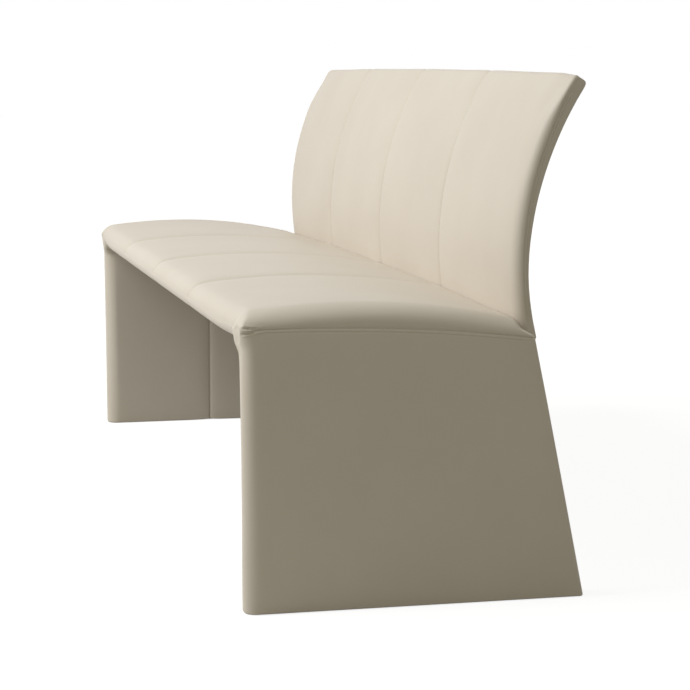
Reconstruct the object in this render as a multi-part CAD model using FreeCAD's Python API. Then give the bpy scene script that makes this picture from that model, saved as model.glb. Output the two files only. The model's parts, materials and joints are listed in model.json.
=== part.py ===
import FreeCAD, Part
import math
import os

# Upholstered bench: a padded seat carried by two padded end panels, with a curved padded back.
# Millimetres. +Z is up, the bench faces -Y, and left and right are as seen from the front.
# Y is first measured from the front plane of the end panels. At the end every piece is shifted
# so that the origin is the middle of the bench's outline on the floor.

Vector = FreeCAD.Vector

# Cover layers: leather on a wadding that fills out the rounded edges over plainly cut foam
cover_thickness = 8.0
back_cover_thickness = 5.0
layer_gap = 0.3

# End panels, which are the legs
bench_length = 1900.0
leg_thickness = 50.0
leg_depth_at_floor = 557.0
leg_depth_at_top = 470.0
leg_rear_height = 425.0
leg_edge_radius = 20.0
rear_corner_radius = 30.0
inner_corner_radius = 28.0
front_sweep_height = 42.0
inner_seam_position = 248.0
inner_seam_width = 0.6

# Seat
seat_height = 490.0
seat_depth = 453.0
crown_position = 172.0
crown_radius = 1230.0
nose_overhang = 12.0
nose_top_radius = 30.0
nose_bottom_radius = 18.0
seam_spacing = 450.0
end_seam_height = 458.0
end_seam_position = 55.0
end_seam_radius = 2950.0
cover_turn_under = 16.0
dust_cover_thickness = 1.2

# Seat frame, webbing and pads
rail_width = 40.0
rail_height = 15.0
rail_wall = 2.0
rail_clearance = 2.0
end_rail_width = 30.0
frame_front_setback = 18.0
frame_rear_setback = 13.0
cross_rail_width = 30.0
cross_rail_height = 10.0
cross_rail_wall = 1.5
cross_rail_positions = (-450.0, 0.0, 450.0)
strap_width = 80.0
strap_thickness = 1.8
strap_pitch = 215.0
clip_plate = 1.2
clip_tongue = 12.0
clip_grip = 15.0
felt_thickness = 2.0
felt_margin = 12.0

# Leg core, mounting plate and fasteners
leg_side_padding = 3.7
leg_edge_padding = 5.7
plate_thickness = 6.0
plate_edge_gap = 1.0
bolt_across = 8.0
bolt_length = 70.0
bolt_head_across = 13.0
bolt_head_height = 5.3
bolt_positions = (100.0, 360.0)
access_hole_across = 17.0
barrel_nut_across = 12.0
barrel_nut_length = 20.0
hole_clearance = 0.2
glide_height = 3.0
glide_across = 25.0
glide_pin_across = 5.0
glide_pin_length = 22.0
glide_front_position = 60.0
glide_rear_margin = 75.0

# Back
back_top_height = 850.0
back_bottom_height = 425.0
back_front_radius = 575.0
back_thickness = 30.0
back_top_thickness = 34.0
lumbar_height = 540.0
back_end_gap = 0.5
junction_gap = 0.5
back_front_bevel = 9.0
back_rear_bevel = 6.0
back_corner_radius = 16.0
back_seam_depth = 17.0
back_front_padding = 7.0
shell_thickness = 10.0
shell_edge_margin = 12.0

# Back uprights and the screws that hold the shell
upright_width = 40.0
upright_thickness = 5.0
upright_height = 255.0
upright_positions = (-675.0, -225.0, 225.0, 675.0)
fit_gap = 0.3
screw_heights = (600.0,)
screw_across = 6.0
screw_head_across = 10.0
screw_head_height = 4.0

# Places worked out from the driving dimensions
half_length = bench_length / 2
leg_inner = half_length - leg_thickness
leg_middle = half_length - leg_thickness / 2
padding_inset = cover_thickness + layer_gap

crown_centre = Vector(0, crown_position, seat_height - crown_radius)
nose_centre_y = nose_top_radius - nose_overhang
nose_rise = math.sqrt((crown_radius - nose_top_radius) ** 2 - (crown_position - nose_centre_y) ** 2)
nose_level = crown_centre.z + nose_rise
nose_centre = Vector(0, nose_centre_y, nose_level)
underside = nose_level - nose_bottom_radius

frame_front = frame_front_setback
frame_rear = seat_depth - frame_rear_setback
front_rail_inner = frame_front + rail_width
rear_rail_inner = frame_rear - rail_width
end_rail_outer = leg_middle + end_rail_width / 2
end_rail_inner = leg_middle - end_rail_width / 2
rail_bottom = underside + rail_clearance
rail_top = rail_bottom + rail_height
felt_bottom = rail_top + clip_plate
felt_top = felt_bottom + felt_thickness

core_half = leg_thickness / 2 - padding_inset - leg_side_padding
core_margin = padding_inset + leg_edge_padding
core_bottom = glide_height + padding_inset
core_top = rail_bottom - plate_thickness
plate_half = leg_thickness / 2 - padding_inset - plate_edge_gap


# Helpers for points, outlines and solids

def yz(y, z):
    """A point of the plane X = 0."""
    return Vector(0, y, z)


def towards(start, end, distance):
    """The point at a distance from start in the direction of end."""
    step = end - start
    return start + step * (distance / step.Length)


def line(start, end):
    return Part.LineSegment(start, end).toShape()


def arc_about(centre, start, end):
    """The shorter arc from start to end about a centre."""
    middle = towards(centre, (start + end) * 0.5, (start - centre).Length)
    return Part.Arc(start, middle, end).toShape()


def outline(points):
    """The face inside a polygon."""
    return Part.Face(Part.makePolygon(points + points[:1]))


def inset_face(wire, inset):
    """The face inside a closed wire, drawn in by an inset."""
    if inset == 0:
        return Part.Face(wire)
    return Part.Face(wire.makeOffset2D(-inset, 2))


def prism(face, x_from, x_to):
    """A face of the plane X = 0, extruded along X."""
    moved = face.copy()
    moved.translate(Vector(x_from, 0, 0))
    return moved.extrude(Vector(x_to - x_from, 0, 0))


def box(x_from, x_to, y_from, y_to, z_from, z_to):
    return Part.makeBox(x_to - x_from, y_to - y_from, z_to - z_from, Vector(x_from, y_from, z_from))


def flat_sided(sides, across, start, direction, length):
    """A regular prism along a direction. Small fasteners and their holes have few flat sides."""
    first = Vector(0, 1, 0) if abs(direction.x) > 0.5 else Vector(1, 0, 0)
    second = direction.cross(first)
    radius = across / 2 / math.cos(math.pi / sides)
    corners = []
    for side in range(sides):
        angle = 2 * math.pi * (side + 0.5) / sides
        corners.append(start + first * (radius * math.cos(angle)) + second * (radius * math.sin(angle)))
    return outline(corners).extrude(direction * length)


def standing(sides, across, y, z_from, z_to):
    """An upright regular prism in the middle of the right end panel."""
    return flat_sided(sides, across, Vector(leg_middle, y, z_from), Vector(0, 0, 1), z_to - z_from)


def mirrored(shape):
    """The same shape at the other end of the bench."""
    return shape.mirror(Vector(0, 0, 0), Vector(1, 0, 0))


def both(shape):
    """A shape of the right end and its mirror image, joined for cutting."""
    return Part.makeCompound([shape, mirrored(shape)])


def clean(shape):
    """The solids of a boolean result, without split faces."""
    solids = shape.removeSplitter().Solids
    return solids[0] if len(solids) == 1 else Part.makeCompound(solids)


# Seat and end panels: the padded body under the cover

def crown_height(y):
    """Height of the top of the seat at a depth."""
    return crown_centre.z + math.sqrt(crown_radius ** 2 - (y - crown_position) ** 2)


def nose_and_crown(start, end):
    """The upper front roll and the crowned top, from a point of the roll to a point of the crown."""
    on_crown = towards(crown_centre, nose_centre, crown_radius)
    return [arc_about(nose_centre, start, on_crown), arc_about(crown_centre, on_crown, end)]


def seat_section():
    """Section of the seat between the end panels."""
    lower_centre = yz(nose_bottom_radius - nose_overhang, nose_level)
    foremost = yz(-nose_overhang, nose_level)
    lowest = yz(lower_centre.y, underside)
    rear_top = yz(seat_depth, crown_height(seat_depth))
    rear_bottom = yz(seat_depth, underside)
    edges = [arc_about(lower_centre, lowest, foremost)]
    edges += nose_and_crown(foremost, rear_top)
    edges += [line(rear_top, rear_bottom), line(rear_bottom, lowest)]
    return Part.Wire(edges)


def rear_edge_y(z):
    """Depth of the slanting rear edge of an end panel at a height."""
    return leg_depth_at_floor + (leg_depth_at_top - leg_depth_at_floor) * z / leg_rear_height


def front_sweep():
    """Foot and top of the short slope that carries the straight front edge into the front roll."""
    foot = yz(0, nose_level - front_sweep_height)
    to_centre = nose_centre - foot
    turn = math.asin(nose_top_radius / to_centre.Length)
    rise = math.sqrt(to_centre.Length ** 2 - nose_top_radius ** 2)
    to_centre.normalize()
    slope = yz(
        to_centre.y * math.cos(turn) - to_centre.z * math.sin(turn),
        to_centre.y * math.sin(turn) + to_centre.z * math.cos(turn),
    )
    return foot, foot + slope * rise


def rear_corner():
    """Ends and centre of the round corner between the crown and the slanting rear edge."""
    foot = yz(rear_edge_y(0), 0)
    along = yz(leg_depth_at_top, leg_rear_height) - foot
    along.normalize()
    inward = yz(-along.z, along.y)
    start = foot + inward * rear_corner_radius - crown_centre
    reach = crown_radius - rear_corner_radius
    along_start = start.dot(along)
    travel = math.sqrt(along_start ** 2 - start.dot(start) + reach ** 2) - along_start
    centre = crown_centre + start + along * travel
    on_crown = towards(crown_centre, centre, crown_radius)
    on_edge = centre - inward * rear_corner_radius
    return on_crown, centre, on_edge


def end_outline():
    """Side outline of an end panel together with the end of the seat above it."""
    floor_front = yz(0, glide_height)
    floor_rear = yz(rear_edge_y(glide_height), glide_height)
    sweep_foot, sweep_top = front_sweep()
    on_crown, corner_centre, on_edge = rear_corner()
    edges = [line(floor_front, sweep_foot), line(sweep_foot, sweep_top)]
    edges += nose_and_crown(sweep_top, on_crown)
    edges.append(arc_about(corner_centre, on_crown, on_edge))
    edges += [line(on_edge, floor_rear), line(floor_rear, floor_front)]
    return Part.Wire(edges)


def end_block(inset):
    """The right end panel and seat end drawn in by an inset, with sharp edges."""
    return prism(inset_face(end_outline(), inset), leg_inner + inset, half_length - inset)


def rounded_end():
    """The right end panel and seat end, with all but the floor edges rounded."""
    solid = end_block(0)
    tiny = layer_gap / 10
    edges = []
    for edge in solid.Edges:
        frame = edge.BoundBox
        across = frame.XLength > tiny
        on_floor = frame.ZMax < solid.BoundBox.ZMin + tiny
        if not across and not on_floor:
            edges.append(edge)
    return solid.makeFillet(leg_edge_radius, edges)


def inner_corner(inset):
    """The hollow fillet under the seat, along the inner face of the right end panel."""
    axis_x = leg_inner - inner_corner_radius
    axis_z = underside - inner_corner_radius
    radius = inner_corner_radius + inset
    y_from = leg_edge_radius + inset
    y_to = seat_depth - inset
    overlap = leg_edge_radius
    block = box(axis_x, axis_x + radius + overlap, y_from, y_to, axis_z, axis_z + radius)
    hollow = Part.makeCylinder(radius, y_to - y_from, Vector(axis_x, y_from, axis_z), Vector(0, 1, 0))
    return block.cut(hollow)


def portal(inset, end):
    """Seat and both ends as one body, drawn in by an inset."""
    middle = prism(inset_face(seat_section(), inset), -leg_middle, leg_middle)
    corner = inner_corner(inset)
    return middle.fuse([end, mirrored(end), corner, mirrored(corner)]).removeSplitter()


def below_end_seam(x_from):
    """The space below the curved seam at the top of the right end panel, outside x_from."""
    centre = yz(end_seam_position, end_seam_height - end_seam_radius)
    reach = leg_depth_at_floor
    drop = end_seam_radius - math.sqrt(end_seam_radius ** 2 - reach ** 2)
    front = yz(end_seam_position - reach, end_seam_height - drop)
    rear = yz(end_seam_position + reach, end_seam_height - drop)
    low_front = yz(front.y, -leg_thickness)
    low_rear = yz(rear.y, -leg_thickness)
    edges = [arc_about(centre, front, rear)]
    edges += [line(rear, low_rear), line(low_rear, low_front), line(low_front, front)]
    return prism(Part.Face(Part.Wire(edges)), x_from, half_length + leg_thickness)


def frame_space():
    """Room for the seat frame with its webbing and felt."""
    reach = end_rail_outer + layer_gap
    front = frame_front - layer_gap
    rear = frame_rear + layer_gap
    rails = box(-reach, reach, front, rear, rail_bottom - layer_gap, rail_top)
    felt = box(-felt_half_length, felt_half_length, felt_front, felt_rear, rail_top, felt_top)
    return [rails, felt]


def seat_and_leg_covers():
    """Leather skin of seat and end panels, and the cloth that closes the seat underneath."""
    skin = portal_outside.cut([portal(cover_thickness, end_block(cover_thickness))] + frame_space())
    skin = skin.cut(Part.makeCompound([upright(x, fit_gap) for x in upright_positions]))
    skin = skin.cut(both(Part.makeCompound(glide_holes())))

    corner_start = leg_inner - inner_corner_radius
    opening_reach = corner_start - cover_turn_under
    opening_rear = seat_depth - cover_turn_under
    opening = [-opening_reach, opening_reach, cover_turn_under, opening_rear, underside]
    slit = box(
        corner_start, leg_inner + cover_thickness,
        inner_seam_position - inner_seam_width / 2, inner_seam_position + inner_seam_width / 2,
        glide_height + cover_thickness, underside + cover_thickness,
    )
    leg_space = below_end_seam(corner_start)
    leg = clean(skin.common(leg_space).cut(slit))
    seat = skin.cut(both(leg_space)).cut(box(*opening, underside + cover_thickness))

    pieces = {
        "leg_cover_right": leg,
        "leg_cover_left": mirrored(leg),
        "dust_cover": box(*opening, underside + dust_cover_thickness),
    }
    for number, slab in enumerate(panel_slabs(), start=1):
        pieces["seat_cover_%d" % number] = clean(seat.common(slab))
    return pieces


def panel_slabs():
    """Four slabs across the bench, which the seams of seat and back lie between."""
    far = half_length + leg_thickness
    seams = [-far, -seam_spacing, 0.0, seam_spacing, far]
    tall = back_top_height + seat_height
    deep = leg_depth_at_floor + seat_depth
    return [box(a, b, -deep, deep, -tall, tall) for a, b in zip(seams, seams[1:])]


def seat_and_leg_padding():
    """Foam of the seat, of the end panels and of the hollow corners under the seat."""
    board = leg_core_block()
    plate = leg_plate_block()
    taken = frame_space() + [board, mirrored(board), plate, mirrored(plate)]
    taken += [upright(x, fit_gap) for x in upright_positions]
    foam = portal(padding_inset, end_block(padding_inset)).cut(taken)

    leg_face = leg_inner + padding_inset
    corner_space = box(
        leg_inner - inner_corner_radius, leg_face, 0, seat_depth, 0, rail_bottom
    )
    leg_space = below_end_seam(leg_face)
    leg = clean(foam.common(leg_space))
    corner = clean(foam.common(corner_space))
    return {
        "seat_foam": clean(foam.cut([both(leg_space), both(corner_space)])),
        "leg_foam_right": leg,
        "leg_foam_left": mirrored(leg),
        "corner_foam_right": corner,
        "corner_foam_left": mirrored(corner),
    }


# Seat frame with its webbing and felt

felt_half_length = end_rail_inner - felt_margin
felt_front = frame_front + felt_margin
felt_rear = frame_rear - felt_margin


def long_rail(y_from):
    """A rectangular tube between the two end rails."""
    reach = end_rail_inner
    outer = box(-reach, reach, y_from, y_from + rail_width, rail_bottom, rail_top)
    inner = box(
        -reach, reach, y_from + rail_wall, y_from + rail_width - rail_wall,
        rail_bottom + rail_wall, rail_top - rail_wall,
    )
    return outer.cut(inner)


def end_rail():
    """The rail over the right end panel, with holes for the leg bolts."""
    outer = box(end_rail_inner, end_rail_outer, frame_front, frame_rear, rail_bottom, rail_top)
    inner = box(
        end_rail_inner + rail_wall, end_rail_outer - rail_wall, frame_front, frame_rear,
        rail_bottom + rail_wall, rail_top - rail_wall,
    )
    rail = outer.cut(inner)
    middle = (rail_bottom + rail_top) / 2
    for y in bolt_positions:
        hole = standing(6, bolt_across + 2 * hole_clearance, y, core_top, middle)
        access = standing(6, access_hole_across, y, middle, felt_top)
        rail = rail.cut([hole, access])
    return rail


def cross_rails():
    """Flatter tubes between the front and rear rails, below the webbing."""
    rails = []
    for x in cross_rail_positions:
        half = cross_rail_width / 2
        top = rail_bottom + cross_rail_height
        outer = box(x - half, x + half, front_rail_inner, rear_rail_inner, rail_bottom, top)
        inner = box(
            x - half + cross_rail_wall, x + half - cross_rail_wall, front_rail_inner, rear_rail_inner,
            rail_bottom + cross_rail_wall, top - cross_rail_wall,
        )
        rails.append(outer.cut(inner))
    return rails


def strap_places():
    """Evenly pitched places along the bench, as many as fit between the end rails."""
    count = int((2 * felt_half_length - strap_width) / strap_pitch) + 1
    return [(number - (count - 1) / 2) * strap_pitch for number in range(count)]


def webbing_strap(x):
    """An elastic strap from the front clip to the rear clip."""
    reach = fit_gap + clip_plate
    half = strap_width / 2
    return box(
        x - half, x + half, front_rail_inner + reach, rear_rail_inner - reach,
        rail_top - strap_thickness, rail_top,
    )


def webbing_clips(x):
    """Two folded plates that grip a strap and hook over the inner edges of the rails."""
    hook = front_rail_inner - clip_tongue
    back = front_rail_inner + fit_gap
    mouth = back + clip_grip
    strap_bottom = rail_top - strap_thickness
    corners = [
        yz(hook, rail_top), yz(hook, rail_top + clip_plate), yz(mouth, rail_top + clip_plate),
        yz(mouth, rail_top), yz(back + clip_plate, rail_top), yz(back + clip_plate, strap_bottom),
        yz(mouth, strap_bottom), yz(mouth, strap_bottom - clip_plate),
        yz(back, strap_bottom - clip_plate), yz(back, rail_top),
    ]
    half = strap_width / 2
    front = prism(outline(corners), x - half, x + half)
    rear = front.mirror(yz((front_rail_inner + rear_rail_inner) / 2, 0), Vector(0, 1, 0))
    return [front, rear]


def seat_frame():
    """Rails, webbing and felt of the seat."""
    places = strap_places()
    clips = [clip for x in places for clip in webbing_clips(x)]
    rail = end_rail()
    felt = box(-felt_half_length, felt_half_length, felt_front, felt_rear, felt_bottom, felt_top)
    return {
        "seat_front_rail": long_rail(frame_front),
        "seat_rear_rail": long_rail(rear_rail_inner),
        "seat_end_rail_right": rail,
        "seat_end_rail_left": mirrored(rail),
        "seat_cross_rails": Part.makeCompound(cross_rails()),
        "webbing_straps": Part.makeCompound([webbing_strap(x) for x in places]),
        "webbing_clips": Part.makeCompound(clips),
        "felt_pad": felt,
    }


# Inside of the end panels

barrel_nut_height = rail_bottom + rail_wall - bolt_length + barrel_nut_across / 2


def leg_core_block():
    """The board inside the right end panel, before drilling."""
    corners = [
        yz(core_margin, core_bottom), yz(core_margin, core_top),
        yz(rear_edge_y(core_top) - core_margin, core_top),
        yz(rear_edge_y(core_bottom) - core_margin, core_bottom),
    ]
    return prism(outline(corners), leg_middle - core_half, leg_middle + core_half)


def leg_plate_block():
    """The steel plate between the board and the end rail, before drilling."""
    return box(
        leg_middle - plate_half, leg_middle + plate_half, frame_front, frame_rear, core_top, rail_bottom
    )


def bolt_holes():
    """Holes for the leg bolts through plate and board."""
    wide = bolt_across + 2 * hole_clearance
    bottom = rail_bottom + rail_wall - bolt_length
    return [standing(6, wide, y, bottom, rail_bottom) for y in bolt_positions]


def barrel(across, length, y):
    """A cross hole or barrel nut, lying along X in the middle of the board."""
    start = Vector(leg_middle - length / 2, y, barrel_nut_height)
    return flat_sided(8, across, start, Vector(1, 0, 0), length)


def glide_places():
    """Depths of the two glides under an end panel."""
    return (glide_front_position, leg_depth_at_floor - glide_rear_margin)


def glide_holes():
    """Holes for the glide pins through the cover into the board."""
    wide = glide_pin_across + 2 * hole_clearance
    top = glide_height + glide_pin_length
    return [standing(6, wide, y, 0, top) for y in glide_places()]


def leg_bolt(y):
    """A hexagon bolt, its head inside the end rail and its end in a barrel nut."""
    seat = rail_bottom + rail_wall
    shank = standing(6, bolt_across, y, seat - bolt_length, seat)
    head = standing(6, bolt_head_across, y, seat, seat + bolt_head_height)
    return shank.fuse(head).removeSplitter().Solids[0]


def barrel_nut(y):
    """A cross dowel in the board that takes the end of a leg bolt."""
    reach = barrel_nut_across
    bore = standing(
        6, bolt_across + hole_clearance, y, barrel_nut_height - reach, barrel_nut_height + reach
    )
    return barrel(barrel_nut_across, barrel_nut_length, y).cut(bore)


def glide(y):
    """A glide with a pin that is driven into the board."""
    foot = standing(12, glide_across, y, 0, glide_height)
    pin = standing(6, glide_pin_across, y, glide_height, glide_height + glide_pin_length)
    return foot.fuse(pin).removeSplitter().Solids[0]


def leg_insides():
    """Board, plate, bolts, barrel nuts and glides of both end panels."""
    wide = barrel_nut_across + 2 * hole_clearance
    cross_holes = [barrel(wide, barrel_nut_length + 2 * hole_clearance, y) for y in bolt_positions]
    core = clean(leg_core_block().cut(bolt_holes() + cross_holes + glide_holes()))
    plate = clean(leg_plate_block().cut(bolt_holes()))
    bolts = [leg_bolt(y) for y in bolt_positions]
    nuts = [barrel_nut(y) for y in bolt_positions]
    glides = [glide(y) for y in glide_places()]
    return {
        "leg_core_right": core,
        "leg_core_left": mirrored(core),
        "leg_plate_right": plate,
        "leg_plate_left": mirrored(plate),
        "leg_bolts": Part.makeCompound(bolts + [mirrored(bolt) for bolt in bolts]),
        "barrel_nuts": Part.makeCompound(nuts + [mirrored(nut) for nut in nuts]),
        "glides": Part.makeCompound(glides + [mirrored(foot) for foot in glides]),
    }


# Back, as layers between a front and a rear arc

def sag(radius, rise):
    """How far an arc falls back at a rise from its foremost point."""
    return radius - math.sqrt(radius ** 2 - rise ** 2)


lumbar_rise = lumbar_height - crown_height(seat_depth)
lumbar_front = seat_depth + junction_gap - sag(back_front_radius, lumbar_rise)
front_centre = yz(lumbar_front + back_front_radius, lumbar_height)
back_half_length = leg_inner - back_end_gap
back_padding_inset = back_cover_thickness + layer_gap
shell_depth = back_padding_inset + back_front_padding
upright_depth = shell_depth - fit_gap - upright_thickness


def at_height(centre, radius, z):
    """The point of a front or rear arc at a height."""
    return yz(centre.y - math.sqrt(radius ** 2 - (z - centre.z) ** 2), z)


def inward_at(z, margin):
    """Direction square to the front of the back, at a margin along the curve below a height."""
    angle = math.asin((z - lumbar_height) / back_front_radius) - margin / back_front_radius
    return yz(math.cos(angle), -math.sin(angle))


def on_ray(centre, radius, inward):
    """The point of an arc on the line through the front centre in a direction."""
    offset = front_centre - centre
    along = offset.dot(inward)
    travel = along + math.sqrt(along ** 2 - offset.dot(offset) + radius ** 2)
    return front_centre - inward * travel


def rear_arc():
    """Centre and radius of the rear arc, from the thickness at the lumbar height and at the top."""
    foremost = yz(lumbar_front + back_thickness, lumbar_height)
    inward = inward_at(back_top_height, 0)
    rear_top = on_ray(front_centre, back_front_radius, inward) + inward * back_top_thickness
    across = rear_top - foremost
    radius = across.dot(across) / (2 * across.y)
    return foremost + yz(radius, 0), radius


rear_centre, back_rear_radius = rear_arc()


def back_face(front_radius, centre, rear_radius, margin):
    """Section between the front arc and a rear arc, cut square to the curve at the top."""
    bottom = back_bottom_height + margin
    inward = inward_at(back_top_height, margin)
    front_bottom = at_height(front_centre, front_radius, bottom)
    front_top = on_ray(front_centre, front_radius, inward)
    rear_top = on_ray(centre, rear_radius, inward)
    rear_bottom = at_height(centre, rear_radius, bottom)
    edges = [arc_about(front_centre, front_bottom, front_top), line(front_top, rear_top)]
    edges += [arc_about(centre, rear_top, rear_bottom), line(rear_bottom, front_bottom)]
    return Part.Face(Part.Wire(edges))


def rounded_corners(block, radius):
    """A back layer with its two top corners rounded."""
    tiny = layer_gap / 10
    corners = []
    for edge in block.Edges:
        across = edge.BoundBox.XLength > tiny
        if not across and edge.BoundBox.ZMin > lumbar_height:
            corners.append(edge)
    return block.makeFillet(radius, corners)


def rim(block, face_radius):
    """Edges along the ends and top of one curved face of a back layer."""
    tiny = layer_gap / 10
    edges = []
    for face in block.Faces:
        surface = face.Surface
        if isinstance(surface, Part.Cylinder) and abs(surface.Radius - face_radius) < tiny:
            edges += [edge for edge in face.Edges if edge.BoundBox.ZMax > lumbar_height]
    return edges


def back_block(inset):
    """The whole padded back drawn in by an inset, with its top corners rounded."""
    half = back_half_length - inset
    face = back_face(back_front_radius - inset, rear_centre, back_rear_radius + inset, inset)
    return rounded_corners(prism(face, -half, half), back_corner_radius - inset)


def bevelled_back():
    """The padded back with its rims bevelled in front and behind."""
    block = back_block(0)
    block = block.makeChamfer(back_front_bevel, rim(block, back_front_radius))
    return block.makeChamfer(back_rear_bevel, rim(block, back_rear_radius))


def shell_block(gap):
    """The moulded board of the back, grown by a gap where it is used to cut the foam."""
    margin = shell_edge_margin - gap
    half = back_half_length - margin
    front_radius = back_front_radius - shell_depth + gap
    rear_radius = back_front_radius - shell_depth - shell_thickness - gap
    block = prism(back_face(front_radius, front_centre, rear_radius, margin), -half, half)
    return rounded_corners(block, back_corner_radius)


def behind_back_seam():
    """The space behind the seam that joins the front and rear covers of the back."""
    radius = back_front_radius - back_seam_depth
    far = half_length
    start = Vector(-far, front_centre.y, front_centre.z)
    return Part.makeCylinder(radius, 2 * far, start, Vector(1, 0, 0))


def upright(x, gap):
    """A curved steel bar against the shell, with a foot that meets the rear rail."""
    half = upright_width / 2 + gap
    front_radius = back_front_radius - upright_depth + gap
    rear_radius = back_front_radius - shell_depth + fit_gap - gap
    low = rail_bottom - gap
    high = rail_bottom + upright_height + gap
    front_low = at_height(front_centre, front_radius, low)
    front_high = at_height(front_centre, front_radius, high)
    rear_low = at_height(front_centre, rear_radius, low)
    rear_high = at_height(front_centre, rear_radius, high)
    edges = [arc_about(front_centre, front_low, front_high), line(front_high, rear_high)]
    edges += [arc_about(front_centre, rear_high, rear_low), line(rear_low, front_low)]
    bar = prism(Part.Face(Part.Wire(edges)), x - half, x + half)
    foot_rear = at_height(front_centre, rear_radius, rail_top).y - fit_gap
    foot = box(x - half, x + half, frame_rear, foot_rear, low, rail_top + gap)
    return bar.fuse(foot).removeSplitter().Solids[0]


def shell_screw(x, z, gap):
    """A screw square to the shell, its head let into the rear face and its end in an upright."""
    inward = inward_at(z, 0)
    rear = on_ray(front_centre, back_front_radius - shell_depth - shell_thickness, inward)
    start = Vector(x, rear.y, rear.z)
    length = shell_thickness + fit_gap + upright_thickness
    head = flat_sided(6, screw_head_across + 2 * gap, start, inward * -1, screw_head_height + gap)
    shank = flat_sided(6, screw_across + 2 * gap, start, inward * -1, length)
    return head.fuse(shank).removeSplitter().Solids[0]


def back_pieces():
    """Shell, uprights, screws, foam and covers of the back."""
    places = [(x, z) for x in upright_positions for z in screw_heights]
    screw_holes = [shell_screw(x, z, hole_clearance) for x, z in places]
    uprights = [upright(x, 0) for x in upright_positions]
    slots = [upright(x, fit_gap) for x in upright_positions]
    behind = behind_back_seam()

    pieces = {
        "back_shell": clean(shell_block(0).cut(screw_holes)),
        "back_uprights": Part.makeCompound([clean(bar.cut(screw_holes)) for bar in uprights]),
        "shell_screws": Part.makeCompound([shell_screw(x, z, 0) for x, z in places]),
    }
    foam = back_block(back_padding_inset).cut([shell_block(fit_gap)] + slots)
    pieces["back_front_foam"] = clean(foam.cut(behind))
    pieces["back_rear_foam"] = clean(foam.common(behind))

    skin = back_outside.cut([back_block(back_cover_thickness)] + slots)
    front = skin.cut(behind)
    rear = skin.common(behind)
    for number, slab in enumerate(panel_slabs(), start=1):
        pieces["back_front_cover_%d" % number] = clean(front.common(slab))
        pieces["back_rear_cover_%d" % number] = clean(rear.common(slab))
    return pieces


# The whole bench, with its origin at the middle of its outline on the floor

portal_outside = portal(0, rounded_end())
back_outside = bevelled_back()
middle_y = (back_outside.optimalBoundingBox(False, False).YMax - nose_overhang) / 2

nodes = {}
nodes.update(seat_frame())
nodes.update(leg_insides())
nodes.update(seat_and_leg_padding())
nodes.update(seat_and_leg_covers())
nodes.update(back_pieces())

os.makedirs("parts", exist_ok=True)
for name, shape in nodes.items():
    placed = shape.copy()
    placed.translate(Vector(0, -middle_y, 0))
    placed.exportStep(os.path.join("parts", name + ".step"))
    print(name, "solids", len(placed.Solids), "valid", placed.isValid(), "volume", round(placed.Volume))
print("origin shift", round(middle_y, 3))
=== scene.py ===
import json

import bpy
import numpy as np
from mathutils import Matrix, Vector


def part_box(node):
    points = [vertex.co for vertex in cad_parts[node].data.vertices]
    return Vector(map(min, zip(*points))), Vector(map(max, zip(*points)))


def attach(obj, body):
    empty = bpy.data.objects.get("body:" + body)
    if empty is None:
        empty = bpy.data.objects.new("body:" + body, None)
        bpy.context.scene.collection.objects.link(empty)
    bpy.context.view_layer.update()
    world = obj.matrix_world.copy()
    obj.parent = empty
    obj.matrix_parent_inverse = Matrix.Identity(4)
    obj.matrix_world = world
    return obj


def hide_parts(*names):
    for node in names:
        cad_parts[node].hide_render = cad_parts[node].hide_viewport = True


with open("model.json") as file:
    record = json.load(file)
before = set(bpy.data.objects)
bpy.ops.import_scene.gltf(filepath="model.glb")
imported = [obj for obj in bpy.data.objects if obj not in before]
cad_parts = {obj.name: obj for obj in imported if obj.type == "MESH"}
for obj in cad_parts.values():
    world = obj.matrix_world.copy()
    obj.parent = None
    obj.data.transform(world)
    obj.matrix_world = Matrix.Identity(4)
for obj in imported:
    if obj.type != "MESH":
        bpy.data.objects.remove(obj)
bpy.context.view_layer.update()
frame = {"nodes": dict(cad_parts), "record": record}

# Places read from the frame, in metres
seat_low, seat_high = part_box("seat_cover_3")
leg_low, leg_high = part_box("leg_cover_right")
back_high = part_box("back_front_cover_4")[1]
half_length = leg_high.x
corner_start = leg_low.x
underside = seat_low.z
crown_height = seat_high.z
seat_rear = seat_high.y
nose_front = seat_low.y
seam_spacing = seat_high.x

# Seat and legs
floor_gap = 0.0010
nose_overhang = 0.012
end_overhang = 0.007
overhang_fade_start = 0.70
overhang_fade_width = 0.22
leg_lean = 0.003
front_plane = nose_front + nose_overhang
leg_thickness = 0.050
leg_front_radius = 0.020
front_turn_top = 0.480
front_turn_fall = 0.06
corner_pinch_radius = 0.008
corner_pinch_reach = 0.013
corner_pinch_height = 0.4590
corner_pinch_width = 0.012
leg_inner_radius = 0.023
inner_pinch_radius = 0.008
leg_rear_radius = 0.008
leg_rear_turn_top = 0.476
leg_rear_turn_fall = 0.028
foot_radius = 0.003
sole_slit = 0.0001
inner_face = half_length - leg_thickness
inner_corner_radius = inner_face - corner_start
inner_corner_level = underside - inner_corner_radius
# Shares of the turn from the seat into a leg
leg_turn_start = 0.66
leg_turn_width = 0.34

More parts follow.
